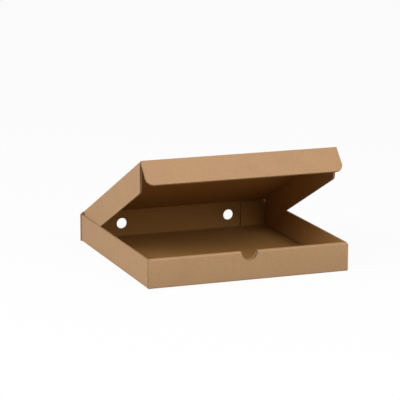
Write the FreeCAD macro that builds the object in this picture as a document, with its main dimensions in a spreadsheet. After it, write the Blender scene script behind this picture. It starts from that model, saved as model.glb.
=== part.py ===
import FreeCAD, Part
import os

import Sketcher

# Pizza box folded from one die-cut sheet of corrugated board, lid partly open.
# Frame: origin at the middle of the underside, X to the right, Y to the rear, Z up, millimetres.
# The lid and its three flaps turn on creases. Each is modelled about its own crease as if
# the box were shut, and its Placement then opens it to the pose that the box is kept in.

DRIVING_SIZES = [
    # sheet
    ("board_thickness", "3.0"),
    ("ply_clearance", "0.2"),
    ("fold_radius", "2.4"),
    ("crease_inside_radius", "0.8"),
    # tray
    ("tray_width", "331.0"),
    ("tray_depth", "336.0"),
    ("side_wall_height", "45.0"),
    ("end_wall_height", "45.4"),
    ("rear_wall_overhang", "1.0"),
    ("roll_radius", "2.8"),
    ("shoulder_drop", "1.4"),
    ("front_tab_length", "72.0"),
    ("rear_tab_length", "48.5"),
    ("rear_tab_drop", "1.0"),
    ("rear_tab_corner_radius", "5.0"),
    ("lock_tab_width", "38.0"),
    ("lock_tab_offset", "92.0"),
    ("lock_slot_clearance", "0.4"),
    # holes
    ("notch_radius", "13.9"),
    ("vent_radius", "8.9"),
    ("vent_offset", "95.0"),
    ("vent_height", "24.4"),
    # lid
    ("lid_seat_clearance", "0.2"),
    ("lid_side_clearance", "0.3"),
    ("lid_tuck_clearance", "1.3"),
    ("lid_open_angle", "25.8"),
    # flaps of the lid
    ("flap_floor_clearance", "1.1"),
    ("front_flap_side_clearance", "0.5"),
    ("front_flap_corner_radius", "13.0"),
    ("front_flap_splay", "18.0"),
    ("front_flap_closed_lean", "11.0"),
    ("square_fold", "90.0"),
    ("mitre_play", "1.0"),
    ("side_flap_front_inset", "5.5"),
    ("side_flap_rear_clearance", "1.3"),
    ("side_flap_slant", "20.0"),
    ("side_flap_corner_radius", "10.0"),
]

DERIVED_SIZES = [
    ("tray_half_width", "=tray_width / 2"),
    ("tray_half_depth", "=tray_depth / 2"),
    ("tray_inner_half_width", "=tray_half_width - board_thickness"),
    ("front_tab_front", "=-tray_half_depth + board_thickness + ply_clearance"),
    ("inner_ply_front", "=front_tab_front + board_thickness + ply_clearance"),
    ("inner_ply_rear", "=inner_ply_front + board_thickness"),
    ("rear_wall_front", "=tray_half_depth - board_thickness"),
    ("side_wall_rear", "=rear_wall_front - ply_clearance"),
    ("ply_foot", "=board_thickness + ply_clearance"),
    ("roll_underside", "=end_wall_height - board_thickness"),
    ("front_shoulder", "=end_wall_height - shoulder_drop"),
    ("hinge_height", "=end_wall_height + lid_seat_clearance + board_thickness"),
    ("lid_length", "=tray_half_depth - inner_ply_rear - lid_tuck_clearance"),
    ("lid_half_width", "=tray_inner_half_width - lid_side_clearance"),
    ("flap_depth", "=hinge_height - board_thickness - flap_floor_clearance"),
    ("front_flap_half_width", "=tray_inner_half_width - front_flap_side_clearance"),
    ("side_flap_front_end", "=-lid_length + side_flap_front_inset"),
    ("side_flap_rear_end", "=-(2 * board_thickness + ply_clearance + side_flap_rear_clearance)"),
    ("fold_mitre", "=(square_fold - front_flap_closed_lean - mitre_play) / 2"),
    ("mitre_run", "=board_thickness / tan(fold_mitre)"),
    ("flap_tilt", "=lid_open_angle + front_flap_splay"),
    ("crease_y", "=tray_half_depth - lid_length * cos(lid_open_angle)"),
    ("crease_z", "=hinge_height + lid_length * sin(lid_open_angle)"),
]

TOUCH = 0.001
SAMPLE_COUNT = 3
PRINT_DECIMALS = 2

os.makedirs("parts", exist_ok=True)
doc = FreeCAD.newDocument("PizzaBox")


def fill_sheet():
    """Writes the driving sizes, then the sizes worked out from them, with an alias each."""
    cells = doc.addObject("Spreadsheet::Sheet", "Sizes")
    for row, (alias, text) in enumerate(DRIVING_SIZES + DERIVED_SIZES, start=1):
        cells.set(f"A{row}", alias)
        cells.set(f"B{row}", text)
        cells.setAlias(f"B{row}", alias)
        cells.recompute()
    return cells


sizes = fill_sheet()


def size(alias):
    """One value of the sheet as a number."""
    return float(sizes.get(alias))


def new_body(label):
    body = doc.addObject("PartDesign::Body", label)
    body.Label = label
    return body


def plane_of(body, role):
    return next(item for item in body.Origin.OriginFeatures if item.Role == role)


def new_sketch(body, role, name, offset=None):
    """An empty sketch on one of the body's own planes, moved along the plane's normal."""
    sketch = body.newObject("Sketcher::SketchObject", name)
    sketch.AttachmentSupport = [(plane_of(body, role), "")]
    sketch.MapMode = "FlatFace"
    if offset is not None:
        sketch.setExpression("AttachmentOffset.Base.z", offset)
    return sketch


def bind(sketch, kind, item, point, expression):
    """A dimension from the sketch's origin to a point of an item, driven by the sheet.

    A line's start is its point 1 and its end is 2, and a circle's middle is 3.
    """
    index = sketch.addConstraint(Sketcher.Constraint(kind, -1, 1, item, point, 1.0))
    sketch.setExpression(f"Constraints[{index}]", expression)


def draw_outline(sketch, corners):
    """A closed polygon. Each corner is a pair of expressions, measured from the sketch origin."""
    first = sketch.GeometryCount
    count = len(corners)
    for step in range(count):
        start = FreeCAD.Vector(step, step * step, 0)
        end = FreeCAD.Vector(step + 1, (step + 1) ** 2, 0)
        sketch.addGeometry(Part.LineSegment(start, end), False)
    for step in range(count):
        line = first + step
        following = first + (step + 1) % count
        sketch.addConstraint(Sketcher.Constraint("Coincident", line, 2, following, 1))
    for step, (across, up) in enumerate(corners):
        bind(sketch, "DistanceX", first + step, 1, across)
        bind(sketch, "DistanceY", first + step, 1, up)


def draw_rectangle(sketch, left, low, right, high):
    draw_outline(sketch, [(left, low), (right, low), (right, high), (left, high)])


def draw_circle(sketch, across, up, radius):
    index = sketch.GeometryCount
    sketch.addGeometry(Part.Circle(), False)
    bind(sketch, "DistanceX", index, 3, across)
    bind(sketch, "DistanceY", index, 3, up)
    ring = sketch.addConstraint(Sketcher.Constraint("Radius", index, 1.0))
    sketch.setExpression(f"Constraints[{ring}]", radius)


def pad(body, sketch, name, length, symmetric=False):
    """Raises the sketch along its normal, or half each way where symmetric is set."""
    feature = body.newObject("PartDesign::Pad", name)
    feature.Profile = sketch
    feature.SideType = "Symmetric" if symmetric else "One side"
    feature.setExpression("Length", length)
    doc.recompute()
    return feature


def pocket(body, sketch, name, length, along_normal=False):
    """Cuts the sketch into the body and makes sure that something was cut."""
    before = body.Shape.Volume
    feature = body.newObject("PartDesign::Pocket", name)
    feature.Profile = sketch
    feature.Reversed = along_normal
    feature.setExpression("Length", length)
    doc.recompute()
    if body.Shape.Volume >= before - TOUCH:
        raise RuntimeError(f"{name} cuts nothing")
    return feature


def edges_at(shape, x=None, y=None, z=None):
    """Names of the edges that lie wholly at the coordinates given, each one value or several."""
    wanted = [(0, x), (1, y), (2, z)]
    names = []
    for number, edge in enumerate(shape.Edges, start=1):
        points = edge.discretize(SAMPLE_COUNT)
        fits = True
        for axis, values in wanted:
            if values is None:
                continue
            for point in points:
                if min(abs(point[axis] - value) for value in values) > TOUCH:
                    fits = False
        if fits:
            names.append(f"Edge{number}")
    return names


def fillet(body, name, edge_names, radius):
    if not edge_names:
        raise RuntimeError(f"{name} finds no edge")
    carrier = body.Tip
    feature = body.newObject("PartDesign::Fillet", name)
    feature.Base = (carrier, edge_names)
    feature.setExpression("Radius", radius)
    body.Tip = feature
    doc.recompute()
    return feature


def mirror_across(body, name, features):
    """Repeats features on the other side of the body's YZ plane."""
    feature = body.newObject("PartDesign::Mirrored", name)
    feature.Originals = features
    feature.MirrorPlane = (plane_of(body, "YZ_Plane"), [""])
    body.Tip = feature
    doc.recompute()
    return feature


# Tray: floor, four walls, the front wall rolled over to a double wall


def add_floor_and_front_ply(body):
    """The floor with the outer front ply standing at its front crease."""
    section = new_sketch(body, "YZ_Plane", "floor_section")
    draw_outline(section, [
        ("-Sizes.tray_half_depth", "0"),
        ("Sizes.tray_half_depth", "0"),
        ("Sizes.tray_half_depth", "Sizes.board_thickness"),
        ("-Sizes.tray_half_depth + Sizes.board_thickness", "Sizes.board_thickness"),
        ("-Sizes.tray_half_depth + Sizes.board_thickness", "Sizes.front_shoulder"),
        ("-Sizes.tray_half_depth", "Sizes.front_shoulder"),
    ])
    pad(body, section, "floor_and_front_ply", "Sizes.tray_width", symmetric=True)


def add_rear_wall(body):
    """The rear wall laps over the side walls' ends and stands a little proud of them."""
    outline = new_sketch(body, "XZ_Plane", "rear_wall_outline", "-Sizes.tray_half_depth")
    reach = "Sizes.tray_half_width + Sizes.rear_wall_overhang"
    draw_rectangle(outline, f"-({reach})", "0", reach, "Sizes.end_wall_height")
    pad(body, outline, "rear_wall", "Sizes.board_thickness")


def add_roll_and_inner_ply(body):
    """The front wall goes on over its flat top and down again inside, with a slot between."""
    section = new_sketch(body, "YZ_Plane", "roll_section")
    draw_outline(section, [
        ("-Sizes.tray_half_depth", "Sizes.front_shoulder - Sizes.board_thickness"),
        ("-Sizes.tray_half_depth + Sizes.board_thickness", "Sizes.front_shoulder - Sizes.board_thickness"),
        ("-Sizes.tray_half_depth + Sizes.board_thickness", "Sizes.roll_underside"),
        ("Sizes.inner_ply_front", "Sizes.roll_underside"),
        ("Sizes.inner_ply_front", "Sizes.ply_foot"),
        ("Sizes.inner_ply_rear", "Sizes.ply_foot"),
        ("Sizes.inner_ply_rear", "Sizes.end_wall_height"),
        ("-Sizes.tray_half_depth", "Sizes.end_wall_height"),
    ])
    width = "2 * (Sizes.tray_inner_half_width - Sizes.ply_clearance)"
    pad(body, section, "roll_and_inner_ply", width, symmetric=True)
    roll_edges = edges_at(
        body.Shape,
        y=[-size("tray_half_depth"), size("inner_ply_rear")],
        z=[size("end_wall_height")],
    )
    fillet(body, "roll_rounding", roll_edges, "Sizes.roll_radius")
    slot_edges = edges_at(
        body.Shape,
        y=[-size("tray_half_depth") + size("board_thickness"), size("inner_ply_front")],
        z=[size("roll_underside")],
    )
    fillet(body, "roll_inside_crease", slot_edges, "Sizes.crease_inside_radius")


def add_side_walls(body):
    """Side walls with a tab at each end, folded in along the front and the rear wall."""
    wall = new_sketch(body, "XY_Plane", "side_wall_outline")
    draw_rectangle(wall, "-Sizes.tray_half_width", "Sizes.front_tab_front",
                   "-Sizes.tray_inner_half_width", "Sizes.side_wall_rear")
    side_wall = pad(body, wall, "side_wall", "Sizes.side_wall_height")

    front = new_sketch(body, "XY_Plane", "front_tab_outline", "Sizes.ply_foot")
    draw_rectangle(front, "-Sizes.tray_half_width", "Sizes.front_tab_front",
                   "-Sizes.tray_half_width + Sizes.front_tab_length",
                   "Sizes.front_tab_front + Sizes.board_thickness")
    front_height = "Sizes.roll_underside - Sizes.ply_clearance - Sizes.ply_foot"
    front_tab = pad(body, front, "front_tab", front_height)

    rear = new_sketch(body, "XY_Plane", "rear_tab_outline", "Sizes.ply_foot")
    draw_rectangle(rear, "-Sizes.tray_half_width", "Sizes.side_wall_rear - Sizes.board_thickness",
                   "-Sizes.tray_half_width + Sizes.rear_tab_length", "Sizes.side_wall_rear")
    rear_height = "Sizes.side_wall_height - Sizes.rear_tab_drop - Sizes.ply_foot"
    rear_tab = pad(body, rear, "rear_tab", rear_height)

    mirror_across(body, "right_side_wall", [side_wall, front_tab, rear_tab])
    side = size("tray_half_width")
    corner_edges = edges_at(
        body.Shape, x=[-side, side], y=[size("front_tab_front"), size("side_wall_rear")]
    )
    fillet(body, "tab_folds", corner_edges, "Sizes.fold_radius")
    free_end = side - size("rear_tab_length")
    tab_top = size("side_wall_height") - size("rear_tab_drop")
    tab_corners = edges_at(body.Shape, x=[-free_end, free_end], z=[tab_top, size("ply_foot")])
    fillet(body, "rear_tab_corners", tab_corners, "Sizes.rear_tab_corner_radius")


def add_locking_tabs(body):
    """Slots in the floor, and tabs on the inner ply that stand in them."""
    slots = new_sketch(body, "XY_Plane", "lock_slot_outlines")
    tabs = new_sketch(body, "XY_Plane", "lock_tab_outlines", "Sizes.lock_slot_clearance")
    for side in ("-", ""):
        middle = f"{side}Sizes.lock_tab_offset"
        reach = "Sizes.lock_tab_width / 2"
        gap = "Sizes.lock_slot_clearance"
        draw_rectangle(slots, f"{middle} - {reach} - {gap}", f"Sizes.inner_ply_front - {gap}",
                       f"{middle} + {reach} + {gap}", f"Sizes.inner_ply_rear + {gap}")
        draw_rectangle(tabs, f"{middle} - {reach}", "Sizes.inner_ply_front",
                       f"{middle} + {reach}", "Sizes.inner_ply_rear")
    pocket(body, slots, "lock_slots", "Sizes.board_thickness", along_normal=True)
    tab_height = "Sizes.ply_foot + Sizes.board_thickness - Sizes.lock_slot_clearance"
    pad(body, tabs, "lock_tabs", tab_height)


def add_holes(body):
    """The thumb notch through both front plies and the two vents in the rear wall."""
    notch = new_sketch(body, "XZ_Plane", "notch_outline", "Sizes.tray_half_depth")
    draw_circle(notch, "0", "Sizes.end_wall_height", "Sizes.notch_radius")
    pocket(body, notch, "thumb_notch", "Sizes.tray_half_depth + Sizes.inner_ply_rear")
    vents = new_sketch(body, "XZ_Plane", "vent_outlines", "-Sizes.tray_half_depth")
    for side in ("-", ""):
        draw_circle(vents, f"{side}Sizes.vent_offset", "Sizes.vent_height", "Sizes.vent_radius")
    pocket(body, vents, "rear_vents", "Sizes.board_thickness", along_normal=True)


def round_bottom_folds(body):
    """The four creases between the floor and its walls, rounded on the outside."""
    side = size("tray_half_width")
    end = size("tray_half_depth")
    lowest = [0.0]
    folds = edges_at(body.Shape, y=[-end, end], z=lowest)
    folds += edges_at(body.Shape, x=[-side, side], z=lowest)
    fillet(body, "bottom_folds", folds, "Sizes.fold_radius")


def make_tray():
    body = new_body("base_tray")
    add_floor_and_front_ply(body)
    add_rear_wall(body)
    add_roll_and_inner_ply(body)
    add_side_walls(body)
    add_locking_tabs(body)
    add_holes(body)
    round_bottom_folds(body)
    return body


# Lid: the panel turns on the rear wall's top crease, and its flaps turn on the panel's edges


def place_on_lid(body, y="Sizes.tray_half_depth", z="Sizes.hinge_height", angle="Sizes.lid_open_angle"):
    """Puts the body's own origin on a crease and tips the body open about it."""
    turn = f"rotation(vector(-1; 0; 0); {angle})"
    body.setExpression("Placement", f"placement(vector(0; {y}; {z}); {turn})")


def make_lid_panel():
    """A flat panel, cut back at the front so that the front flap can lean in under it."""
    body = new_body("lid_panel")
    section = new_sketch(body, "YZ_Plane", "panel_section")
    draw_outline(section, [
        ("0", "0"),
        ("-Sizes.lid_length", "0"),
        ("-Sizes.lid_length + Sizes.mitre_run", "-Sizes.board_thickness"),
        ("0", "-Sizes.board_thickness"),
    ])
    pad(body, section, "panel", "2 * Sizes.lid_half_width", symmetric=True)
    side = size("lid_half_width")
    side_folds = edges_at(body.Shape, x=[-side, side], z=[0.0])
    fillet(body, "side_folds", side_folds, "Sizes.fold_radius")
    place_on_lid(body)
    return body


def make_front_flap():
    """The tuck flap, about the outer corner of the lid's front crease."""
    body = new_body("lid_front_flap")
    section = new_sketch(body, "YZ_Plane", "front_flap_section")
    draw_outline(section, [
        ("0", "0"),
        ("0", "-Sizes.flap_depth"),
        ("Sizes.board_thickness", "-Sizes.flap_depth"),
        ("Sizes.board_thickness", "-Sizes.mitre_run"),
    ])
    pad(body, section, "front_flap", "2 * Sizes.front_flap_half_width", symmetric=True)
    side = size("front_flap_half_width")
    corners = edges_at(body.Shape, x=[-side, side], z=[-size("flap_depth")])
    fillet(body, "front_flap_corners", corners, "Sizes.front_flap_corner_radius")
    place_on_lid(body, "Sizes.crease_y", "Sizes.crease_z", "Sizes.flap_tilt")
    return body


def make_side_flap(label, outer_side):
    """A side tuck flap under one edge of the panel, with slanted ends and rounded corners."""
    body = new_body(label)
    outline = new_sketch(body, "YZ_Plane", f"{label}_outline", outer_side)
    top = "-(Sizes.board_thickness + Sizes.ply_clearance)"
    draw_outline(outline, [
        ("Sizes.side_flap_rear_end", top),
        ("Sizes.side_flap_rear_end - Sizes.side_flap_slant", "-Sizes.flap_depth"),
        ("Sizes.side_flap_front_end + Sizes.side_flap_slant", "-Sizes.flap_depth"),
        ("Sizes.side_flap_front_end", top),
    ])
    pad(body, outline, f"{label}_sheet", "Sizes.board_thickness")
    slant = size("side_flap_slant")
    ends = [size("side_flap_rear_end") - slant, size("side_flap_front_end") + slant]
    corners = edges_at(body.Shape, y=ends, z=[-size("flap_depth")])
    fillet(body, f"{label}_corners", corners, "Sizes.side_flap_corner_radius")
    place_on_lid(body)
    return body


def check_document():
    """Stops before anything is written if a feature failed or a solid is not sound."""
    for item in doc.Objects:
        if "Invalid" in item.State or "Error" in item.State:
            raise RuntimeError(f"{item.Name} failed: {item.State}")
    for body in bodies:
        shape = body.Shape
        if shape.isNull() or not shape.isValid() or len(shape.Solids) != 1:
            raise RuntimeError(f"{body.Label} is not one sound solid")


bodies = [
    make_tray(),
    make_lid_panel(),
    make_front_flap(),
    make_side_flap("lid_left_flap", "-Sizes.lid_half_width"),
    make_side_flap("lid_right_flap", "Sizes.lid_half_width - Sizes.board_thickness"),
]
doc.recompute()
check_document()
for part_body in bodies:
    part_body.Shape.exportStep(f"parts/{part_body.Label}.step")
    box = part_body.Shape.BoundBox
    low = [round(value, PRINT_DECIMALS) for value in (box.XMin, box.YMin, box.ZMin)]
    high = [round(value, PRINT_DECIMALS) for value in (box.XMax, box.YMax, box.ZMax)]
    print(part_body.Label, "volume", round(part_body.Shape.Volume), "from", low, "to", high)
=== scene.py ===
"""A pizza box folded from brown corrugated board, its lid partly open, on a pale studio floor."""
import logging
import math
from collections.abc import Callable
from dataclasses import dataclass
from enum import Enum, IntEnum
from functools import partial

import bmesh
import bpy
from bmesh.types import BMesh, BMFace, BMVert
from bpy.types import Material, Mesh, Node, NodeSocket, NodeTree, Object
from mathutils import Matrix, Quaternion, Vector


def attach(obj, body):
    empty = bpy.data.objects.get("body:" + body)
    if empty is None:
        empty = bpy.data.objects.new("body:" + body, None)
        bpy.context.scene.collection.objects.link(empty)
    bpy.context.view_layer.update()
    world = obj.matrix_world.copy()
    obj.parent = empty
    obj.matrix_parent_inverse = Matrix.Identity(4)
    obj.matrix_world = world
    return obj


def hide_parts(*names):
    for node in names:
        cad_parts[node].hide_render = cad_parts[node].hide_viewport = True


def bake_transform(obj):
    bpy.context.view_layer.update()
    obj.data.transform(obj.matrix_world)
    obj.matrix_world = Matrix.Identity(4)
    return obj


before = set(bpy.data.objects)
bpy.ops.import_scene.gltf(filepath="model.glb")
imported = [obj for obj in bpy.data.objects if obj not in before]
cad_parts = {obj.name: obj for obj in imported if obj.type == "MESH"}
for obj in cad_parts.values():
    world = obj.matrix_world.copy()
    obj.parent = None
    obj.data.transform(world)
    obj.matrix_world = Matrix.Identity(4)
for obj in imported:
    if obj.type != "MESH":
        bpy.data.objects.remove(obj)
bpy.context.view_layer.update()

Triple = tuple[float, float, float]

LOG = logging.getLogger("pizza_box")
MM = 0.001
SHARP_ANGLE = math.radians(32)
QUARTER = math.pi / 2
LID_OPEN = math.radians(25.8)
FOLD_STEP = math.radians(12)
LEAST_FOLD_STEPS = 3
ROUNDING_SEGMENTS = 14
HOLE_SEGMENTS = 96
RAW_END_FACING = 0.7

X_AXIS = Vector((1, 0, 0))
Y_AXIS = Vector((0, 1, 0))
Z_AXIS = Vector((0, 0, 1))
LID_OUT = Vector((0, -math.cos(LID_OPEN), math.sin(LID_OPEN)))
LID_DOWN = Vector((0, -math.sin(LID_OPEN), -math.cos(LID_OPEN)))


# Board


class Coat(IntEnum):
    """The material slots of every piece of board, in order."""

    OUTER_FACE = 0
    CUT_EDGE = 1
    MEDIUM = 2
    CORE = 3
    INNER_FACE = 4


class Layer(Enum):
    """The board's papers and the crushed ends of its flutes, each with the coat of its faces."""

    OUTER = Coat.OUTER_FACE
    MEDIUM = Coat.MEDIUM
    CORE = Coat.CORE
    INNER = Coat.INNER_FACE


LINERS = (Layer.OUTER, Layer.INNER)
FILLING = (Layer.MEDIUM, Layer.CORE)


class Grain(Enum):
    """What the flutes of a stretch of board are laid across: the box's width or height, or the lid's flaps."""

    WIDTH = "x"
    HEIGHT = "z"
    FLAP = "flap"


class Side(IntEnum):
    """One side of the box. The value is the sign of X there."""

    LEFT = -1
    RIGHT = 1


@dataclass(frozen=True)
class Board:
    """Corrugated board: a fluted paper between two flat ones."""

    thickness: float = 3.0 * MM
    liner: float = 0.35 * MM
    medium: float = 0.26 * MM
    pitch: float = 6.3 * MM
    steps_in_flute: int = 10
    glue_line: float = 0.01 * MM
    crease_room: float = 0.15 * MM
    groove_reach: float = 0.9 * MM
    groove_depth: float = 1.0 * MM
    recess: float = 0.7 * MM

    def depths(self, layer: Layer) -> tuple[float, float]:
        """Looks up where a layer lies under the face that it is laid from.

        Args:
            layer: One of the layers.

        Returns:
            The depth of the layer's two faces, or of the middle of the wave with its paper.
        """
        middle = self.thickness / 2
        return {
            Layer.MEDIUM: (middle - self.medium / 2, middle + self.medium / 2),
            Layer.CORE: (self.liner, self.thickness - self.liner),
        }.get(layer, (0.0, self.liner))

    @property
    def swing(self) -> float:
        """Works out how far the medium's wave goes to either side of the middle."""
        return (self.thickness - 2 * self.liner - self.medium) / 2 - self.glue_line

    def groove(self, turn: float) -> tuple[float, float]:
        """Works out how the inner liner is pressed into the board at a fold.

        Args:
            turn: The fold's angle.

        Returns:
            The angle at which the liner dips and the length of the groove's wall.
        """
        lean = (math.pi - turn) / 2
        ahead = self.groove_reach + self.groove_depth * math.cos(lean)
        aside = self.groove_depth * math.sin(lean)
        return math.atan2(aside, ahead), math.hypot(ahead, aside)


BOARD = Board()


@dataclass(frozen=True)
class Run:
    """A straight run of board and the fold at its far end, measured on the outer face.

    A positive turn folds the board towards its inner face, a negative one away from it.
    """

    length: float
    turn: float = 0.0
    radius: float = 0.0


def place(origin: Vector | Triple, along: Vector, inward: Vector) -> Matrix:
    """Makes the frame in which board is laid: X across the run, Y into the board, Z along it.

    Args:
        origin: A point on the outer face, at the start of the run.
        along: The direction of the run.
        inward: The direction from the outer face to the inner one.

    Returns:
        The matrix from that frame to the box.
    """
    across = inward.cross(along)
    turn = Matrix((across, inward, along)).transposed().to_4x4()
    return Matrix.Translation(origin) @ turn


def ahead(start: Matrix, distance: float) -> Matrix:
    """Moves a frame along its run."""
    return start @ Matrix.Translation((0, 0, distance))


def bend(start: Matrix, turn: float) -> Matrix:
    """Turns a frame about its X, where a positive angle turns it away from the board."""
    return start @ Matrix.Rotation(turn, 4, "X")


class Folder:
    """Lays papers and folds them into the mesh of one piece."""

    def __init__(self, board: Board = BOARD) -> None:
        """Starts with nothing laid."""
        self.board = board
        self.bm = bmesh.new()

    def _section(self, start: Matrix, near: float, far: float, layer: Layer) -> list[BMFace]:
        """Draws a paper's cross-section, flat, or waved where it is the medium.

        Args:
            start: The frame at the start of the run.
            near: Where the section starts across the run.
            far: Where it ends.
            layer: The paper.

        Returns:
            The section's faces.
        """
        board = self.board
        top, low = board.depths(layer)
        waved = layer is Layer.MEDIUM
        count = max(2, round((far - near) / board.pitch * board.steps_in_flute)) if waved else 1
        made = bmesh.ops.create_grid(self.bm, x_segments=count, y_segments=1, size=0.5)
        for vertex in made["verts"]:
            across = near + (vertex.co.x + 0.5) * (far - near)
            depth = top + (vertex.co.y + 0.5) * (low - top)
            if waved:
                depth += board.swing * math.cos(2 * math.pi * across / board.pitch)
            vertex.co = start @ Vector((across, depth, 0))
        return list(dict.fromkeys(face for vertex in made["verts"] for face in vertex.link_faces))

    def _draw_out(self, section: list[BMFace], step: Vector) -> list[BMFace]:
        """Extrudes a section along a straight line.

        Args:
            section: The section's faces.
            step: The way to its far end.

        Returns:
            The section at the far end.
        """
        made = bmesh.ops.extrude_face_region(self.bm, geom=section)["geom"]
        verts = [item for item in made if isinstance(item, BMVert)]
        bmesh.ops.translate(self.bm, verts=verts, vec=step)
        return [item for item in made if isinstance(item, BMFace)]

    def _coat(self, old: set[BMFace], across: Vector, layer: Layer) -> None:
        """Gives the newly laid faces their coat, and a liner's raw ends another.

        Args:
            old: The faces that were there before.
            across: The direction that stays level through the folds.
            layer: The layer that was laid.
        """
        for face in self.bm.faces:
            if face in old:
                continue
            face.normal_update()
            cut = layer in LINERS and abs(face.normal.dot(across)) > RAW_END_FACING
            face.material_index = Coat.CUT_EDGE if cut else layer.value

    def lay(self, start: Matrix, near: float, far: float, runs: list[Run], *layers: Layer,
            pieces_in_run: int = 1) -> None:
        """Lays layers along a chain of runs and folds them between the runs.

        Args:
            start: The frame at the start of the first run.
            near: Where the layers start across the run.
            far: Where they end.
            runs: The runs, with the fold after each.
            layers: The layers to lay, or none for all of them.
            pieces_in_run: How many steps each straight run is divided into.
        """
        turned_over = Matrix.Translation((0, self.board.thickness, 0)) @ Matrix.Rotation(math.pi, 4, "Z")
        for layer in layers or Layer:
            if layer is Layer.INNER:
                self.lay_liner(start @ turned_over, -far, -near, self._pressed(runs), layer, pieces_in_run)
            elif layer is Layer.OUTER:
                self.lay_liner(start, near, far, runs, layer, pieces_in_run)
            else:
                self._lay_filling(start, near, far, runs, layer)

    def _pressed(self, runs: list[Run]) -> list[Run]:
        """Works out the inner liner's runs, pressed into a groove at each fold that has room for one.

        Args:
            runs: The runs and folds, measured on the outer face.

        Returns:
            The runs and folds, measured on the inner face and turned over.
        """
        board = self.board
        pressed, before, used = [], 0.0, 0.0
        for run in runs:
            lost = board.thickness * math.tan(run.turn / 2)
            length = run.length - before - lost - used
            before = lost
            if run.turn == 0 or length < board.groove_reach + board.crease_room:
                pressed.append(Run(length, -run.turn, board.crease_room))
                used = 0.0
                continue
            dip, wall = board.groove(run.turn)
            pressed += [
                Run(length - board.groove_reach, dip),
                Run(wall, -run.turn - 2 * dip, board.crease_room),
                Run(wall, dip),
            ]
            used = board.groove_reach
        return pressed

    def _lay_filling(self, start: Matrix, near: float, far: float, runs: list[Run], layer: Layer) -> None:
        """Lays the fluted medium, or the crushed flutes behind its raw ends, in the straight runs.

        Args:
            start: The frame at the start of the first run.
            near: Where the filling starts across the run.
            far: Where it ends.
            runs: The runs, with the fold after each, which crushes the flutes.
            layer: The medium or the core.
        """
        board = self.board
        inset = board.recess if layer is Layer.CORE else 0.0
        old = set(self.bm.faces)
        here, before = start, 0.0
        for run in runs:
            after = board.thickness * math.tan(run.turn / 2) + (board.groove_reach if run.turn else 0.0)
            length = run.length - before - after - 2 * inset
            if length > inset:
                section = self._section(ahead(here, before + inset), near + inset, far - inset, layer)
                self._draw_out(section, here.to_3x3() @ Z_AXIS * length)
            here, before = bend(ahead(here, run.length), -run.turn), after
        self._coat(old, start.to_3x3() @ X_AXIS, layer)

    def lay_liner(self, start: Matrix, near: float, far: float, runs: list[Run], layer: Layer = Layer.INNER,
                  pieces_in_run: int = 1) -> None:
        """Lays a flat paper as one strip that goes round its folds.

        Args:
            start: The frame at the strip's start, on its own face, with Y into the board.
            near: Where the strip starts across the run.
            far: Where it ends.
            runs: The runs, measured on that face, with the fold after each.
            layer: The liner.
            pieces_in_run: How many steps each straight run is divided into.
        """
        old = set(self.bm.faces)
        here, before = start, 0.0
        section = self._section(here, near, far, layer)
        for run in runs:
            centre_depth = max(run.radius, self.board.liner + self.board.crease_room)
            if run.turn < 0:
                centre_depth = -run.radius
            after = abs(centre_depth * math.tan(run.turn / 2))
            straight = run.length - before - after
            if straight > self.board.glue_line:
                for _ in range(pieces_in_run):
                    section = self._draw_out(section, here.to_3x3() @ Z_AXIS * (straight / pieces_in_run))
                here = ahead(here, straight)
            if run.turn:
                centre = here @ Vector((0, centre_depth, 0))
                axis = here.to_3x3() @ X_AXIS
                steps = max(LEAST_FOLD_STEPS, round(abs(run.turn) / FOLD_STEP))
                turned = bmesh.ops.spin(self.bm, geom=section, cent=centre, axis=axis, dvec=(0, 0, 0),
                                        angle=-run.turn, steps=steps, use_merge=False, use_duplicate=False)
                section = [item for item in turned["geom_last"] if isinstance(item, BMFace)]
                about = Matrix.Translation(centre)
                here = about @ Matrix.Rotation(-run.turn, 4, axis) @ about.inverted() @ here
            before = after
        buried = [face for face in self.bm.faces if all(len(edge.link_faces) > 2 for edge in face.edges)]
        bmesh.ops.delete(self.bm, geom=buried, context="FACES_ONLY")
        self._coat(old, start.to_3x3() @ X_AXIS, layer)

    def finish(self, name: str, coats: tuple[Material, ...], mirrored: bool = False) -> Object:
        """Turns the layers into an object with its place in its mesh.

        Args:
            name: The piece's name.
            coats: The finishes for its material slots.
            mirrored: Whether the piece belongs on the other side of the box.

        Returns:
            The new object.
        """
        if mirrored:
            bmesh.ops.scale(self.bm, vec=(-1, 1, 1), verts=self.bm.verts)
        bmesh.ops.recalc_face_normals(self.bm, faces=self.bm.faces)
        piece = new_object(name, self.bm)
        for material in coats:
            piece.data.materials.append(material)
        return piece


def add_object(name: str, data: bpy.types.ID) -> Object:
    """Puts a new object in the scene.

    Args:
        name: The object's name.
        data: Its mesh, lamp or camera.

    Returns:
        The object.
    """
    made = bpy.data.objects.new(name, data)
    bpy.context.scene.collection.objects.link(made)
    return made


def new_object(name: str, bm: BMesh) -> Object:
    """Makes an object of a finished bmesh and frees the bmesh.

    Args:
        name: The object's name.
        bm: The bmesh.

    Returns:
        The object.
    """
    mesh = bpy.data.meshes.new(name)
    bm.to_mesh(mesh)
    bm.free()
    return add_object(name, mesh)


def smooth(piece: Object) -> None:
    """Shades a piece smooth across its folds and leaves its cut edges sharp."""
    piece.data.shade_smooth()
    piece.data.set_sharp_from_angle(angle=SHARP_ANGLE)


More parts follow.
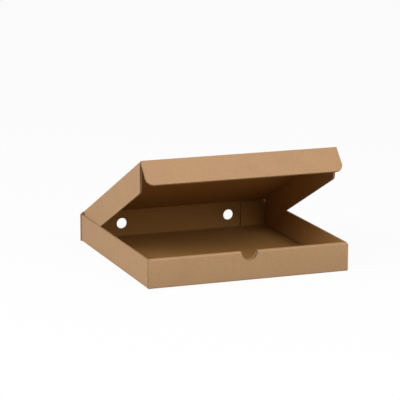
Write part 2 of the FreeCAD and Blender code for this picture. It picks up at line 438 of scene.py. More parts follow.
def prism(start: Matrix, corners: list[tuple[float, float]], near: float, far: float,
          rounding: dict[int, float] | None = None) -> Object:
    """Makes a cutter with a polygon for its outline.

    Args:
        start: A frame whose X and Z hold the outline and whose Y is the direction of the cut.
        corners: The outline's corners, as X and Z.
        near: Where the cutter starts along Y.
        far: Where it ends.
        rounding: How far the corners of these numbers are rounded, measured along the outline.

    Returns:
        The cutter.
    """
    bm = bmesh.new()
    verts = [bm.verts.new((across, near, along)) for across, along in corners]
    bm.faces.new(verts)
    for number, reach in (rounding or {}).items():
        bmesh.ops.bevel(bm, geom=[verts[number]], offset=reach, offset_type="OFFSET", segments=ROUNDING_SEGMENTS,
                        profile=0.5, affect="VERTICES", material=-1)
    made = bmesh.ops.extrude_face_region(bm, geom=bm.faces[:])["geom"]
    moved = [item for item in made if isinstance(item, BMVert)]
    bmesh.ops.translate(bm, verts=moved, vec=(0, far - near, 0))
    bmesh.ops.transform(bm, matrix=start, verts=bm.verts)
    bmesh.ops.recalc_face_normals(bm, faces=bm.faces)
    return new_object("cutter", bm)


def drum(centre: Vector, radius: float, reach: float, growth: float) -> Object:
    """Makes a round cutter that lies along Y.

    Args:
        centre: Its middle.
        radius: The hole's radius.
        reach: Half the cutter's length.
        growth: How much larger its radius is.

    Returns:
        The cutter.
    """
    bm = bmesh.new()
    turn = Z_AXIS.rotation_difference(Y_AXIS).to_matrix().to_4x4()
    bmesh.ops.create_cone(bm, cap_ends=True, cap_tris=False, segments=HOLE_SEGMENTS, radius1=radius + growth,
                          radius2=radius + growth, depth=2 * reach, matrix=Matrix.Translation(centre) @ turn)
    return new_object("cutter", bm)


def shells(bm: BMesh) -> list[list[BMFace]]:
    """Sorts a bmesh's faces into the closed shells that they form.

    Args:
        bm: The bmesh.

    Returns:
        The faces of each shell.
    """
    found, seen = [], set()
    for first in bm.faces:
        if first in seen:
            continue
        seen.add(first)
        shell, waiting = [], [first]
        while waiting:
            face = waiting.pop()
            shell.append(face)
            for edge in face.edges:
                for other in edge.link_faces:
                    if other not in seen:
                        seen.add(other)
                        waiting.append(other)
        found.append(shell)
    return found


def carve(piece: Object, make_cutter: Callable[[float], Object], keep_inside: bool = False) -> None:
    """Cuts a piece, and its core a little further back, so that the flutes show at the raw edge.

    Each paper is cut by itself, because papers that touch would confuse the cut.

    Args:
        piece: The piece of board.
        make_cutter: Makes the closed shape to cut with, larger all round by the amount given.
        keep_inside: Whether the board inside the cutter stays, and not the board outside it.
    """
    cutters = {}
    for coat, growth in ((Coat.CUT_EDGE, 0.0), (Coat.CORE, -BOARD.recess if keep_inside else BOARD.recess)):
        cutter = make_cutter(growth)
        for material in piece.data.materials:
            cutter.data.materials.append(material)
        for polygon in cutter.data.polygons:
            polygon.material_index = coat
        cutters[coat] = cutter
    whole = bmesh.new()
    whole.from_mesh(piece.data)
    result = bmesh.new()
    for shell in shells(whole):
        cutter = cutters[Coat.CORE if shell[0].material_index == Coat.CORE else Coat.CUT_EDGE]
        mesh = cut_paper(piece.data, {face.index for face in shell}, cutter, keep_inside)
        result.from_mesh(mesh)
        bpy.data.meshes.remove(mesh)
    whole.free()
    result.to_mesh(piece.data)
    result.free()
    for cutter in cutters.values():
        bpy.data.meshes.remove(cutter.data)


def cut_paper(mesh: Mesh, kept: set[int], cutter: Object, keep_inside: bool) -> Mesh:
    """Cuts one paper of a piece.

    Args:
        mesh: The piece's mesh.
        kept: The numbers of the paper's faces.
        cutter: The closed shape to cut with.
        keep_inside: Whether the paper inside the cutter stays.

    Returns:
        A new mesh of the cut paper.
    """
    bm = bmesh.new()
    bm.from_mesh(mesh)
    bmesh.ops.delete(bm, geom=[face for face in bm.faces if face.index not in kept], context="FACES")
    paper = new_object("paper", bm)
    for material in mesh.materials:
        paper.data.materials.append(material)
    cut = paper.modifiers.new("cut", "BOOLEAN")
    cut.operation = "INTERSECT" if keep_inside else "DIFFERENCE"
    cut.solver = "EXACT"
    cut.object = cutter
    evaluated = paper.evaluated_get(bpy.context.evaluated_depsgraph_get())
    result = bpy.data.meshes.new_from_object(evaluated)
    bpy.data.meshes.remove(paper.data)
    return result


# Finishes


FIBRE_SWAY = 2.2 * MM
FORMATION_HEIGHT = 0.6


def linear(red: float, green: float, blue: float) -> tuple[float, float, float, float]:
    """Turns a screen's colour, each part from 0 to 255, into the renderer's values."""
    shares = (value / 255 for value in (red, green, blue))
    return (*(share / 12.92 if share <= 0.04045 else ((share + 0.055) / 1.055) ** 2.4 for share in shares), 1.0)


def socket_group(name: str, inputs: dict[str, float | None], outputs: tuple[str, ...]) -> NodeTree:
    """Makes an empty shader node group with named sockets.

    Args:
        name: The group's name.
        inputs: Each input's default, or None where the input is a vector.
        outputs: The outputs' names. Each gives a number.

    Returns:
        The group, with its input and output nodes in place.
    """
    tree = bpy.data.node_groups.new(name, "ShaderNodeTree")
    for label, default in inputs.items():
        kind = "NodeSocketVector" if default is None else "NodeSocketFloat"
        socket = tree.interface.new_socket(label, in_out="INPUT", socket_type=kind)
        if default is not None:
            socket.default_value = default
    for label in outputs:
        tree.interface.new_socket(label, in_out="OUTPUT", socket_type="NodeSocketFloat")
    tree.nodes.new("NodeGroupInput")
    tree.nodes.new("NodeGroupOutput")
    return tree


class Wiring:
    """Adds nodes to a node tree and joins them."""

    def __init__(self, tree: NodeTree) -> None:
        """Works on one node tree."""
        self.tree = tree

    def feed(self, node: Node, inputs: dict[str | int, object]) -> Node:
        """Gives a node its inputs.

        Args:
            node: The node.
            inputs: A value, or a socket to join, for each input by name or number.

        Returns:
            The same node.
        """
        for key, value in inputs.items():
            if isinstance(value, NodeSocket):
                self.tree.links.new(value, node.inputs[key])
            else:
                node.inputs[key].default_value = value
        return node

    def node(self, kind: str, inputs: dict[str | int, object] | None = None, **settings: object) -> Node:
        """Adds a node.

        Args:
            kind: The node's type.
            inputs: Its inputs, as for feed.
            settings: The node's own settings.

        Returns:
            The node.
        """
        node = self.tree.nodes.new(kind)
        for name, value in settings.items():
            setattr(node, name, value)
        return self.feed(node, inputs or {})

    def noise(self, where: NodeSocket, scale: float, detail: float, roughness: float = 0.5) -> Node:
        """Adds a Noise Texture node."""
        values = {"Vector": where, "Scale": scale, "Detail": detail, "Roughness": roughness}
        return self.node("ShaderNodeTexNoise", values)

    def maths(self, operation: str, *values: object) -> NodeSocket:
        """Adds a Math node and gives its result."""
        return self.node("ShaderNodeMath", dict(enumerate(values)), operation=operation).outputs[0]

    def vector(self, operation: str, *values: object) -> NodeSocket:
        """Adds a Vector Math node and gives its vector."""
        return self.node("ShaderNodeVectorMath", dict(enumerate(values)), operation=operation).outputs[0]

    def around(self, value: NodeSocket, strength: object) -> NodeSocket:
        """Turns a value from 0 to 1 into a push of some strength to either side of 0."""
        return self.maths("MULTIPLY", self.maths("SUBTRACT", value, 0.5), strength)

    def remap(self, value: NodeSocket, low: float, high: float, to_low: float, to_high: float) -> NodeSocket:
        """Stretches one range of values onto another, smoothly and without going past its ends."""
        values = {0: value, 1: low, 2: high, 3: to_low, 4: to_high}
        return self.node("ShaderNodeMapRange", values, interpolation_type="SMOOTHSTEP").outputs[0]

    def tint(self, share: object, first: object, second: object, blend: str = "MIX") -> NodeSocket:
        """Mixes two colours, which are the Mix node's inputs 6 and 7, and gives the result."""
        values = {0: share, 6: first, 7: second}
        return self.node("ShaderNodeMix", values, data_type="RGBA", blend_type=blend).outputs[2]


def new_material(name: str) -> tuple[Material, Wiring, Node]:
    """Makes a material.

    Args:
        name: The material's name.

    Returns:
        The material, its wiring and its shader.
    """
    material = bpy.data.materials.new(name)
    material.use_nodes = True
    return material, Wiring(material.node_tree), material.node_tree.nodes["Principled BSDF"]


def paper_group() -> NodeTree:
    """Builds the look of unbleached paper: cloudy formation, fibres and flecks.

    Returns:
        A group that gives a shade around 1, a fleck mask and a height.
    """
    tree = socket_group("unbleached_paper", {"Vector": None, "Clouds": 0.05, "Fibres": 0.06, "Fleck Share": 0.2},
                        ("Shade", "Flecks", "Height"))
    wire = Wiring(tree)
    given = tree.nodes["Group Input"].outputs
    where, strength = given["Vector"], given["Fibres"]
    clouds = wire.noise(where, scale=26.0, detail=4.0, roughness=0.6).outputs[0]
    formation = wire.noise(where, scale=260.0, detail=3.0).outputs[0]
    sway = wire.noise(where, scale=420.0, detail=1.0).outputs["Color"]
    small = wire.vector("MULTIPLY", wire.vector("SUBTRACT", sway, (0.5, 0.5, 0.5)), (FIBRE_SWAY,) * 3)
    swayed = wire.vector("ADD", where, small)
    fibre = wire.noise(swayed, scale=1700.0, detail=2.0, roughness=0.7).outputs[0]
    cells = wire.node("ShaderNodeTexVoronoi", {"Vector": swayed, "Scale": 620.0}, feature="F1")
    rare = wire.node("ShaderNodeSeparateColor", {"Color": cells.outputs["Color"]})
    chosen = wire.maths("LESS_THAN", rare.outputs[0], given["Fleck Share"])
    near = wire.remap(cells.outputs["Distance"], low=0.12, high=0.42, to_low=1.0, to_high=0.0)
    broad = wire.maths("ADD", wire.around(clouds, given["Clouds"]), wire.around(formation, strength))
    wire.feed(tree.nodes["Group Output"], {
        "Shade": wire.maths("ADD", broad, wire.maths("ADD", wire.around(fibre, strength), 1.0)),
        "Flecks": wire.maths("MULTIPLY", chosen, near),
        "Height": wire.maths("ADD", fibre, wire.maths("MULTIPLY", formation, FORMATION_HEIGHT)),
    })
    return tree


def washboard_group() -> NodeTree:
    """Builds the faint ribs that the flutes press through a liner, as a wave that sets both their bump and their
    painted shade.

    Returns:
        A group that gives a wave from 0 to 1 across the flutes, uneven along them.
    """
    tree = socket_group("flute_washboard", {"Vector": None, "Across": None, "Pitch": BOARD.pitch}, ("Wave",))
    wire = Wiring(tree)
    given = tree.nodes["Group Input"].outputs
    across = wire.node("ShaderNodeVectorMath", {0: given["Vector"], 1: given["Across"]}, operation="DOT_PRODUCT")
    turns = wire.maths("DIVIDE", wire.maths("MULTIPLY", across.outputs["Value"], 2 * math.pi), given["Pitch"])
    wave = wire.maths("MULTIPLY", wire.maths("COSINE", turns), 0.5)
    patches = wire.noise(given["Vector"], scale=14.0, detail=2.0).outputs[0]
    strength = wire.remap(patches, low=0.3, high=0.7, to_low=0.45, to_high=1.0)
    wire.feed(tree.nodes["Group Output"], {"Wave": wire.maths("ADD", wire.maths("MULTIPLY", wave, strength), 0.5)})
    return tree


@dataclass(frozen=True)
class Paper:
    """One paper's finish."""

    name: str
    colour: Triple
    dark_fleck: Triple = (118, 84, 52)
    fleck_share: float = 0.16
    fleck_strength: float = 0.35
    clouds: float = 0.16
    fibres: float = 0.16
    # Painted shade: how far the flute ribs darken and lighten the colour.
    rib_painted_shade: float = 0.02
    rib_height: float = 0.035 * MM
    fibre_height: float = 0.02 * MM
    roughness: float = 0.88
    gloss: float = 0.25
    across: Triple = (1.0, 0.0, 0.0)

    def build(self, surface: NodeTree, washboard: NodeTree) -> Material:
        """Makes the material.

        Args:
            surface: The node group that every paper uses.
            washboard: The node group for the flutes' ribs.

        Returns:
            The material.
        """
        material, wire, shader = new_material(self.name)
        where = wire.node("ShaderNodeTexCoord").outputs["Object"]
        amounts = {"Clouds": self.clouds, "Fibres": self.fibres, "Fleck Share": self.fleck_share}
        paper = wire.node("ShaderNodeGroup", {"Vector": where} | amounts, node_tree=surface).outputs
        ribs = wire.node("ShaderNodeGroup", {"Vector": where, "Across": self.across}, node_tree=washboard)
        wave = ribs.outputs["Wave"]
        # Painted shade: the flute wave darkens and lightens the colour in stripes along the ribs, as their relief
        # would be shaded.
        shade = wire.maths("ADD", paper["Shade"], wire.around(wave, self.rib_painted_shade))
        grey = wire.node("ShaderNodeCombineColor", {0: shade, 1: shade, 2: shade}).outputs[0]
        base = wire.tint(1.0, linear(*self.colour), grey, blend="MULTIPLY")
        fleck = wire.maths("MULTIPLY", paper["Flecks"], self.fleck_strength)
        fine = wire.maths("MULTIPLY", paper["Height"], self.fibre_height)
        height = wire.maths("ADD", fine, wire.maths("MULTIPLY", wave, self.rib_height))
        rough = wire.remap(paper["Height"], low=0.4, high=1.2, to_low=self.roughness - 0.06,
                           to_high=self.roughness + 0.05)
        wire.feed(shader, {
            "Base Color": wire.tint(fleck, base, linear(*self.dark_fleck)),
            "Roughness": rough,
            "Specular IOR Level": self.gloss,
            "Normal": wire.node("ShaderNodeBump", {"Strength": 1.0, "Distance": 1.0, "Height": height}).outputs[0],
        })
        return material


OUTSIDE = (185, 147, 109)
# The inner liner's colour is the outer kraft darkened and warmed as painted shade, the look of the box's shaded
# inside. The paper itself is the same kraft.
INSIDE_PAINTED_SHADE = (170, 126, 68)
# The cut edges' colour is the lighter paper of a raw edge, lifted further as a painted highlight for the bright line
# along lit edges.
EDGE_WITH_PAINTED_HIGHLIGHT = (206, 174, 138)
MEDIUM = (184, 148, 110)
CORE = (188, 152, 114)
ROUGH_EDGE = {"fibre_height": 0.06 * MM, "roughness": 0.93}
NO_RIBS = {"rib_painted_shade": 0.0, "rib_height": 0.0}


def build_coats() -> dict[Grain, tuple[Material, ...]]:
    """Makes every finish of the box once.

    Returns:
        The finishes for each direction of the flutes, in the order of the material slots.
    """
    groups = (paper_group(), washboard_group())
    edge = Paper("cut_board_edge_painted_highlight", EDGE_WITH_PAINTED_HIGHLIGHT, fibres=0.4, **NO_RIBS, **ROUGH_EDGE).build(*groups)
    medium = Paper("fluted_medium", MEDIUM, fibres=0.3, **NO_RIBS).build(*groups)
    coats = {}
    for grain, direction in {Grain.WIDTH: X_AXIS, Grain.HEIGHT: Z_AXIS, Grain.FLAP: LID_DOWN}.items():
        across = tuple(direction)
        outer = Paper(f"kraft_outside_{grain.value}", OUTSIDE, across=across).build(*groups)
        # The inner liners get the darker, warmer colour of painted shade.
        inner = Paper(f"kraft_inside_{grain.value}", INSIDE_PAINTED_SHADE, across=across).build(*groups)
        # The crushed flutes get a strong painted shade of ribs: dark and light stripes where real flutes would be
        # shaded.
        core = Paper(f"crushed_flutes_{grain.value}", CORE, across=across, fibres=0.5, rib_painted_shade=0.2,
                     rib_height=0.15 * MM, **ROUGH_EDGE).build(*groups)
        coats[grain] = (outer, edge, medium, core, inner)
    return coats


# Tray


@dataclass
class Sheet:
    """What the tray and the lid share, as stretches of one folded sheet."""

    coats: dict[Grain, tuple[Material, ...]]
    half_depth: float = 168.0 * MM
    end_height: float = 45.4 * MM
    fold_radius: float = 2.4 * MM

    def fold(self, length: float) -> Run:
        """Makes a run that ends in a square fold."""
        return Run(length, QUARTER, self.fold_radius)


@dataclass
class Tray(Sheet):
    """The floor, the doubled front wall, the rear wall and the side walls with their tabs."""

    half_width: float = 165.5 * MM
    wall_height: float = 45.0 * MM
    shoulder: float = 44.0 * MM
    roll_half_width: float = 162.3 * MM
    roll_depth: float = 9.4 * MM
    roll_radius: float = 2.8 * MM
    ply_gap: float = 0.2 * MM
    foot: float = 3.2 * MM
    rear_overhang: float = 1.0 * MM
    front_tab_length: float = 72.0 * MM
    front_tab_top: float = 42.2 * MM
    rear_tab_length: float = 48.5 * MM
    rear_tab_top: float = 44.0 * MM
    end_gap: float = 3.2 * MM
    lock_offset: float = 92.0 * MM
    lock_width: float = 38.0 * MM
    lock_gap: float = 0.4 * MM
    notch_radius: float = 13.9 * MM
    vent_radius: float = 8.9 * MM
    vent_offset: float = 95.0 * MM
    vent_height: float = 24.4 * MM
    overlap: float = 8.0 * MM
    tab_shoulder: float = 2.0 * MM

    def build(self) -> list[Object]:
        """Builds the tray's pieces in order."""
        ends = [self.build_floor(), self.build_front_wall(), self.build_rear_wall()]
        return ends + [self.build_side_wall(side) for side in Side]

    def build_floor(self) -> Object:
        """Builds the floor inside the four folds, with the slots for the locking tabs.

        Returns:
            The piece.
        """
        folder = Folder()
        reach, wide = self.half_depth - self.overlap, self.half_width - self.overlap
        folder.lay(place((0, -reach, 0), Y_AXIS, Z_AXIS), -wide, wide, [Run(2 * reach)])
        floor = folder.finish("tray_floor", self.coats[Grain.WIDTH])
        for side in Side:
            carve(floor, partial(self._slot_waste, side))
        return floor

    def _slot_waste(self, side: Side, growth: float) -> Object:
        """Makes the cutter for one slot for a locking tab.

        Args:
            side: The side of the box.
            growth: How much larger the cutter is all round.

        Returns:
            The cutter.
        """
        gap = self.lock_gap + growth
        middle = -side * self.lock_offset
        near, far = middle - self.lock_width / 2 - gap, middle + self.lock_width / 2 + gap
        rear = -self.half_depth + self.roll_depth
        front = rear - BOARD.thickness
        corners = [(far, front - gap), (near, front - gap), (near, rear + gap), (far, rear + gap)]
        return prism(place((0, 0, 0), Y_AXIS, Z_AXIS), corners, -BOARD.thickness, 2 * BOARD.thickness)

    def build_front_wall(self) -> Object:
        """Builds the outer ply, the roll over its top, the inner ply with its locking tabs and the notch.

        Returns:
            The piece.
        """
        folder = Folder()
        reach, narrow = self.half_depth - self.overlap, self.half_width - self.fold_radius
        under = place((0, -reach, 0), -Y_AXIS, Z_AXIS)
        folder.lay(under, -narrow, narrow, [Run(self.overlap - self.foot)])
        fold = place((0, -self.half_depth + self.foot, 0), -Y_AXIS, Z_AXIS)
        folder.lay(fold, -self.half_width, self.half_width, [
            self.fold(self.foot),
            Run(self.end_height, QUARTER, self.roll_radius),
            Run(self.roll_depth, QUARTER, self.roll_radius),
            Run(self.end_height - self.foot),
        ])
        inside = place((0, -self.half_depth + self.roll_depth, self.foot), -Z_AXIS, -Y_AXIS)
        for side in Side:
            near = -side * self.lock_offset - self.lock_width / 2
            folder.lay(inside, near, near + self.lock_width, [Run(self.foot - self.lock_gap)])
        wall = folder.finish("tray_front_wall", self.coats[Grain.WIDTH])
        middle = Vector((0, -self.half_depth + self.roll_depth / 2, self.end_height))
        carve(wall, partial(drum, middle, self.notch_radius, self.roll_depth))
        for side in Side:
            carve(wall, partial(self._corner_waste, side))
        return wall

    def _corner_waste(self, side: Side, growth: float) -> Object:
        """Makes the cutter that narrows the roll and the inner ply, and leaves the outer ply at the corner.

        Args:
            side: The side of the box.
            growth: How much larger the cutter is, except towards the outer ply.

        Returns:
            The cutter.
        """
        front, rear = -self.half_depth - BOARD.thickness, -self.half_depth + 2 * self.roll_depth
        gap = -self.half_depth + BOARD.thickness + self.ply_gap / 2
        low, high = self.foot - self.ply_gap / 2, self.end_height + BOARD.thickness
        shoulder = self.shoulder - growth
        outline = [(front, shoulder), (gap, shoulder), (gap, low), (rear, low), (rear, high), (front, high)]
        start = place((side * self.roll_half_width, 0, 0), Z_AXIS, X_AXIS * side)
        across = start.to_3x3() @ X_AXIS
        return prism(start, [(y * across.y, z) for y, z in outline], -growth, 2 * BOARD.thickness)

    def build_rear_wall(self) -> Object:
        """Builds the rear wall, with its two round vents.

        Returns:
            The piece.
        """
        folder = Folder()
        reach, narrow = self.half_depth - self.overlap, self.half_width - self.fold_radius
        creased, wide = self.roll_half_width, self.half_width + self.rear_overhang
        under = place((0, reach, 0), Y_AXIS, Z_AXIS)
        folder.lay(under, -narrow, narrow, [Run(self.overlap - self.foot)], Layer.OUTER, *FILLING)
        folder.lay(under, -creased, creased, [self.fold(self.overlap), Run(self.end_height)], Layer.INNER)
        fold = place((0, self.half_depth - self.foot, 0), Y_AXIS, Z_AXIS)
        runs = [self.fold(self.foot), Run(self.end_height)]
        folder.lay(fold, -wide, wide, runs, Layer.OUTER)
        folder.lay(fold, -self.half_width, self.half_width, runs, *FILLING)
        for side in Side:
            folder.lay(fold, *sorted((side * creased, side * self.half_width)), runs, Layer.INNER)
        wall = folder.finish("tray_rear_wall", self.coats[Grain.WIDTH])
        for side in Side:
            middle = Vector((side * self.vent_offset, self.half_depth, self.vent_height))
            carve(wall, partial(drum, middle, self.vent_radius, 2 * BOARD.thickness))
        return wall

    def build_side_wall(self, side: Side) -> Object:
        """Builds a side wall with its bottom fold and its two tabs. It is laid out on the left.

        Args:
            side: The side of the box that it stands on.

        Returns:
            The piece.
        """
        folder = Folder()
        end, flat_end = self.half_depth - self.end_gap, self.half_depth - self.overlap
        under = place((-self.half_width + self.overlap, 0, 0), -X_AXIS, Z_AXIS)
        folder.lay(under, -flat_end, flat_end, [self.fold(self.overlap), Run(self.overlap)], *LINERS)
        for near in (-end, flat_end):
            folder.lay(under, near, near + end - flat_end, [self.fold(self.overlap), Run(self.foot)], Layer.OUTER)
        wall = place((-self.half_width, -flat_end, 0), Y_AXIS, X_AXIS)
        folder.lay(wall, self.overlap, self.wall_height, [Run(2 * flat_end)])
        self._fold_tab(folder, -1, self.front_tab_length, self.front_tab_top)
        self._fold_tab(folder, 1, self.rear_tab_length, self.rear_tab_top)
        return folder.finish(f"tray_{side.name.lower()}_side", self.coats[Grain.HEIGHT], side is Side.RIGHT)

    def _fold_tab(self, folder: Folder, sign: int, length: float, top: float) -> None:
        """Folds the tab at one end of a side wall.

        Args:
            folder: The side wall's folder.
            sign: The sign of Y at that end.
            length: How far the tab reaches from the wall's outer face.
            top: The height of its upper edge.
        """
        outer, shoulder = -self.half_width, BOARD.thickness + self.tab_shoulder
        start = place((outer, sign * (self.half_depth - self.overlap), 0), Y_AXIS * sign, X_AXIS)
        folder.lay(start, *sorted((sign * self.foot, sign * self.wall_height)),
                   [self.fold(self.overlap - self.end_gap), Run(shoulder)])
        end = sign * (self.half_depth - self.end_gap)
        along = place((outer + shoulder, end, 0), X_AXIS, Vector((0, -sign, 0)))
        folder.lay(along, *sorted((sign * self.foot, sign * top)), [Run(length - shoulder)])


# Lid


@dataclass
class Lid(Sheet):
    """The lid's panel, its front tuck flap, its two side flaps and the creases between them."""

    hinge_height: float = 48.6 * MM
    splay: float = math.radians(18.0)
    length: float = 325.3 * MM
    half_width: float = 162.2 * MM
    crease_radius: float = 1.4 * MM
    flap_depth: float = 44.5 * MM
    front_flap_half_width: float = 162.0 * MM
    front_flap_rounding: float = 13.0 * MM
    side_flap_top: float = 3.2 * MM
    side_flap_front: float = 319.8 * MM
    side_flap_rear: float = 7.5 * MM
    side_flap_slant: float = 20.0 * MM
    side_flap_rounding: float = 6.3 * MM
    crease_reach: float = 6.0 * MM
    filling_reach: float = 3.4 * MM
    wrap_reach: float = 2.0 * MM
    crease_flare: float = 3.6 * MM
    crease_steps: int = 3
    side_crease_inset: float = 1.5 * MM
    blend_reach: float = 1.8 * MM
    blend_margin: float = 0.5 * MM
    blend_place: float = 150.0 * MM

    def __post_init__(self) -> None:
        """Works out where the lid's two creases are, and the front flap's directions."""
        self.hinge = Vector((0, self.half_depth, self.hinge_height))
        self.front = self.hinge + LID_OUT * self.length
        self.flap_out = math.sin(self.splay) * LID_OUT + math.cos(self.splay) * LID_DOWN
        self.flap_in = math.sin(self.splay) * LID_DOWN - math.cos(self.splay) * LID_OUT

    def at(self, along: float, under: float = 0.0, across: float = 0.0) -> Vector:
        """Finds a point of the lid, measured from its hinge, under its outer face and from its middle."""
        return self.hinge + LID_OUT * along + LID_DOWN * under + X_AXIS * across

    def build_panel(self) -> Object:
        """Builds the lid's panel, with the outer liner wrapped over its two side folds.

        Returns:
            The piece.
        """
        folder = Folder()
        wrap = place(self.at(0, self.fold_radius, -self.half_width), -LID_DOWN, X_AXIS)
        runs = [self.fold(self.fold_radius), self.fold(2 * self.half_width), Run(self.fold_radius)]
        folder.lay(wrap, self.wrap_reach, self.length - self.wrap_reach, runs, Layer.OUTER)
        filled = self.half_width - BOARD.liner
        rear = place(self.at(self.filling_reach), LID_OUT, LID_DOWN)
        folder.lay(rear, -filled, filled, [Run(self.length - 2 * self.filling_reach)], *FILLING)
        dip, wall = BOARD.groove(QUARTER)
        flat = self.half_width - BOARD.thickness - BOARD.groove_reach
        inside = place(self.at(0, BOARD.thickness, -flat), X_AXIS, -LID_DOWN)
        folder.lay_liner(ahead(bend(inside, dip), -wall), self.crease_reach - self.length, -self.crease_reach,
                         [Run(wall, dip), Run(2 * flat, dip), Run(wall)])
        return folder.finish("lid_board", self.coats[Grain.WIDTH])

    def build_front_flap(self) -> Object:
        """Builds the tuck flap, with its two rounded corners.

        Returns:
            The piece.
        """
        folder = Folder()
        start = place(self.front, self.flap_out, self.flap_in)
        wide = self.front_flap_half_width
        reaches = (self.wrap_reach, self.filling_reach, self.filling_reach, self.crease_reach)
        for layer, reach in zip(Layer, reaches):
            folder.lay(ahead(start, reach), -wide, wide, [Run(self.flap_depth - reach)], layer)
        flap = folder.finish("front_flap_board", self.coats[Grain.WIDTH])
        carve(flap, partial(self._front_flap_outline, start), keep_inside=True)
        return flap

    def _front_flap_outline(self, start: Matrix, growth: float) -> Object:
        """Makes the front flap's outline as a cutter.

        Args:
            start: The flap's frame.
            growth: How much larger the cutter is all round.

        Returns:
            The cutter.
        """
        wide, low = self.front_flap_half_width + growth, self.flap_depth + growth
        rounding = self.front_flap_rounding + growth
        return prism(start, [(-wide, -low), (wide, -low), (wide, low), (-wide, low)], -low, low,
                     {2: rounding, 3: rounding})

    def build_side_flap(self, side: Side) -> Object:
        """Builds a side flap, with its slanted ends. It is laid out on the left.

        Args:
            side: The side of the lid that it hangs from.

        Returns:
            The piece.
        """
        folder = Folder()
        rear = ahead(place(self.at(0, 0, -self.half_width), LID_OUT, X_AXIS), self.side_flap_rear)
        runs = [Run(self.side_flap_front - self.side_flap_rear)]
        folder.lay(rear, self.crease_reach, self.flap_depth, runs, Layer.OUTER)
        folder.lay(rear, self.side_flap_top, self.flap_depth, runs, *FILLING)
        dip, wall = BOARD.groove(QUARTER)
        high = BOARD.thickness + BOARD.groove_reach
        inside = place(self.at(0, high, -self.half_width + BOARD.thickness), LID_DOWN, -X_AXIS)
        folder.lay_liner(ahead(bend(inside, dip), -wall), self.side_flap_rear, self.side_flap_front,
                         [Run(wall, dip), Run(self.flap_depth - high)])
        flap = folder.finish(f"{side.name.lower()}_flap_board", self.coats[Grain.FLAP], side is Side.RIGHT)
        carve(flap, partial(self._side_flap_outline, side), keep_inside=True)
        return flap

    def _side_flap_outline(self, side: Side, growth: float) -> Object:
        """Makes a side flap's outline as a cutter.

        Args:
            side: The side of the lid.
            growth: How much larger the cutter is all round.

        Returns:
            The cutter.
        """
        slope = self.side_flap_slant / (self.flap_depth - self.side_flap_top)
        top, low = self.side_flap_top - self.flap_depth, self.flap_depth + growth
        rear, front = self.side_flap_rear - growth, self.side_flap_front + growth
        lean = (self.side_flap_top - top) * slope
        slant = self.side_flap_slant
        outline = [(top, rear - lean), (low, rear + slant), (low, front - slant), (top, front + lean)]
        start = place(self.at(0, 0, side * self.half_width), LID_OUT, X_AXIS * -side)
        rounding = self.side_flap_rounding + growth / 2
        return prism(start, [(across * -side, along) for across, along in outline], -low, low,
                     {1: rounding, 2: rounding})

    def build_hinge_crease(self) -> Object:
        """Builds the crease between the rear wall and the lid, outside and inside.

        Returns:
            The piece.
        """
        folder = Folder()
        wide, rise = self.half_width, self.hinge_height - self.end_height
        start = place((0, self.half_depth, self.end_height), Z_AXIS, -Y_AXIS)
        crease = Run(rise, QUARTER - LID_OPEN, self.crease_radius)
        folder.lay(start, -wide, wide, [crease, Run(self.wrap_reach)], Layer.OUTER, pieces_in_run=self.crease_steps)
        for vertex in folder.bm.verts:
            up = min(1.0, (vertex.co.z - self.end_height) / rise)
            vertex.co.x += math.copysign((1 - up) * self.crease_flare, vertex.co.x)
        wide -= BOARD.liner
        folder.lay(start, -wide, wide, [crease, Run(self.crease_reach)], Layer.INNER, pieces_in_run=self.crease_steps)
        return folder.finish("lid_hinge_crease", self.coats[Grain.WIDTH])

    def build_front_crease(self) -> Object:
        """Builds the crease between the lid and its front flap, outside and inside.

        Returns:
            The piece.
        """
        folder = Folder()
        wide = self.front_flap_half_width
        for layer, reach in ((Layer.OUTER, self.wrap_reach), (Layer.INNER, self.crease_reach)):
            start = place(self.at(self.length - reach), LID_OUT, LID_DOWN)
            folder.lay(start, -wide, wide, [Run(reach, QUARTER - self.splay, self.crease_radius), Run(reach)], layer,
                       pieces_in_run=self.crease_steps)
        return folder.finish("front_flap_crease", self.coats[Grain.WIDTH])

    def build_side_crease(self, side: Side) -> Object:
        """Builds the outer liner's strip between the lid's side fold and a side flap, laid out on the left.

        Args:
            side: The side of the lid.

        Returns:
            The piece.
        """
        folder = Folder()
        start = place(self.at(0, self.fold_radius, -self.half_width), LID_DOWN, X_AXIS)
        rear, front = self.side_flap_rear + self.side_crease_inset, self.side_flap_front - self.side_crease_inset
        folder.lay(start, -front, -rear, [Run(self.crease_reach - self.fold_radius)], Layer.OUTER,
                   pieces_in_run=2 * self.crease_steps)
        return folder.finish(f"{side.name.lower()}_flap_crease", self.coats[Grain.FLAP], side is Side.RIGHT)


# Studio


WHITE = (1.0, 1.0, 1.0, 1.0)


def facing(position: Triple, aim: Triple) -> Quaternion:
    """Turns a camera or a lamp at one point towards another."""
    return (Vector(aim) - Vector(position)).to_track_quat("-Z", "Y")


@dataclass(frozen=True)
class Camera:
    """The camera, set up as the photograph's was."""

    position: Triple = (-1.1901, -3.0973, 0.8233)
    aim: Triple = (-0.01476, 0.01035, 0.09018)
    roll: float = math.radians(0.157)
    lens: float = 190.92
    sensor: float = 36.0
    nearest: float = 0.05
    farthest: float = 50.0

    def build(self) -> None:
        """Makes the camera and gives it to the scene."""
        data = bpy.data.cameras.new("camera")
        data.lens, data.sensor_width = self.lens, self.sensor
        data.clip_start, data.clip_end = self.nearest, self.farthest
        camera = add_object("camera", data)
        looking = facing(self.position, self.aim).to_matrix().to_4x4()
        camera.matrix_world = Matrix.Translation(self.position) @ looking @ Matrix.Rotation(self.roll, 4, "Z")
        bpy.context.scene.camera = camera


@dataclass(frozen=True)
class Softbox:
    """A square studio lamp."""

    name: str
    position: Triple
    power: float
    colour: Triple = (1.0, 1.0, 1.0)
    size: float = 1.6
    aim: Triple = (0.0, 0.0, 0.08)

    def build(self) -> None:
        """Makes the lamp and points it."""
        data = bpy.data.lights.new(self.name, "AREA")
        data.shape, data.size, data.energy, data.color = "SQUARE", self.size, self.power, self.colour
        lamp = add_object(self.name, data)
        lamp.location = self.position
        lamp.rotation_euler = facing(self.position, self.aim).to_euler()


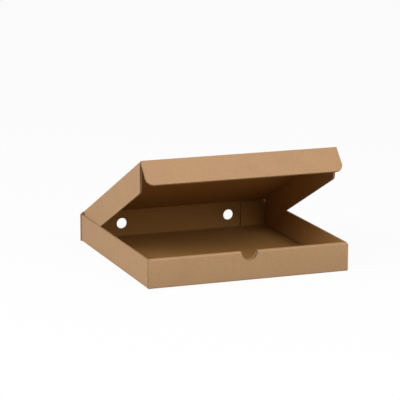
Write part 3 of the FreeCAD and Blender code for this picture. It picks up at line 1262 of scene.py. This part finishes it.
@dataclass
class Studio:
    """A pale floor, soft lamps and a white surround."""

    softboxes: tuple[Softbox, ...] = (
        Softbox("left_softbox", (-2.58, 0.0, 1.17), 43.0, (0.91, 0.93, 1.0)),
        Softbox("front_left_softbox", (-1.88, -1.32, 1.69), 24.0),
        Softbox("front_right_softbox", (0.83, -2.28, 1.48), 42.0, (1.0, 0.985, 0.95)),
    )
    ambient: float = 0.22
    floor_size: float = 30.0
    floor_drop: float = 0.2 * MM
    floor_colour: Triple = (158, 157, 155)
    shadow_colour: tuple[float, float, float, float] = (0.95, 0.95, 0.95, 1.0)
    shadow_depth: float = 0.06

    def build(self) -> None:
        """Makes the floor, the lamps, the surround and the colour settings."""
        self._floor()
        self._surround()
        for softbox in self.softboxes:
            softbox.build()
        bpy.context.scene.view_settings.view_transform = "Standard"

    def _background_ray(self, wire: Wiring) -> NodeSocket:
        """Tells the rays that show the background, to the camera, in gloss or through glass.

        Args:
            wire: The wiring of the floor's or the surround's nodes.

        Returns:
            A value that is 1 for those rays.
        """
        path = wire.node("ShaderNodeLightPath")
        seen = wire.maths("MAXIMUM", path.outputs["Is Camera Ray"], path.outputs["Is Glossy Ray"])
        return wire.maths("MAXIMUM", seen, path.outputs["Is Transmission Ray"])

    def _floor(self) -> None:
        """Makes the floor, lifted towards white where it is seen."""
        bm = bmesh.new()
        bmesh.ops.create_grid(bm, x_segments=1, y_segments=1, size=self.floor_size / 2,
                              matrix=Matrix.Translation((0, 0, -self.floor_drop)))
        floor = new_object("studio_floor", bm)
        material, wire, shader = new_material("studio_floor")
        wire.feed(shader, {"Base Color": linear(*self.floor_colour), "Roughness": 1.0, "Specular IOR Level": 0.0})
        shown = wire.node("ShaderNodeBsdfDiffuse", {"Color": self.shadow_colour})
        glow = wire.node("ShaderNodeEmission", {"Color": WHITE, "Strength": 1.0})
        white = wire.node("ShaderNodeMixShader", {0: self.shadow_depth, 1: glow.outputs[0], 2: shown.outputs[0]})
        mix = wire.node("ShaderNodeMixShader", {0: self._background_ray(wire), 1: shader.outputs[0],
                                                2: white.outputs[0]})
        wire.feed(material.node_tree.nodes["Material Output"], {"Surface": mix.outputs[0]})
        floor.data.materials.append(material)

    def _surround(self) -> None:
        """Makes the world: white where it is seen, a plain soft light elsewhere."""
        world = bpy.data.worlds.new("studio_surround")
        world.use_nodes = True
        wire = Wiring(world.node_tree)
        strength = wire.node("ShaderNodeMix", {0: self._background_ray(wire), 2: self.ambient, 3: 1.0},
                             data_type="FLOAT")
        wire.feed(world.node_tree.nodes["Background"], {"Color": WHITE, "Strength": strength.outputs[0]})
        bpy.context.scene.world = world


# Assembly


def hand_over(piece: Object) -> None:
    """Logs a finished piece."""
    LOG.info("%s: %d faces", piece.name, len(piece.data.polygons))


def build_box() -> None:
    """Builds the box's pieces, ties the main ones to the CAD body that each moves with and bakes the creases in place.
    """
    coats = build_coats()
    tray, lid = Tray(coats), Lid(coats)
    riding = [(piece, "tray", "base_tray") for piece in tray.build()]
    riding += [
        (lid.build_panel(), "lid", "lid_panel"),
        (lid.build_front_flap(), "front_flap", "lid_front_flap"),
        (lid.build_side_flap(Side.LEFT), "left_flap", "lid_left_flap"),
        (lid.build_side_flap(Side.RIGHT), "right_flap", "lid_right_flap"),
    ]
    for piece, body, node in riding:
        smooth(piece)
        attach(piece, body)
        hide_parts(node)
        hand_over(piece)
    reach = lid.blend_reach
    creases = [
        (lid.build_hinge_crease(), "tray", "lid", lid.hinge - Z_AXIS * reach, lid.hinge + LID_OUT * reach),
        (lid.build_front_crease(), "lid", "front_flap", lid.front - LID_OUT * reach, lid.front + lid.flap_out * reach),
    ]
    for side in Side:
        high = lid.at(lid.blend_place, lid.fold_radius, side * lid.half_width)
        low = lid.at(lid.blend_place, lid.crease_reach - lid.blend_margin, side * lid.half_width)
        creases.append((lid.build_side_crease(side), "lid", f"{side.name.lower()}_flap", high, low))
    for piece, upper, lower, start, end in creases:
        smooth(piece)
        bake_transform(piece)
        hand_over(piece)


def main() -> None:
    """Builds the scene."""
    logging.basicConfig(level=logging.INFO, format="%(name)s: %(message)s")
    Camera().build()
    Studio().build()
    build_box()


if __name__ == "__main__":
    main()
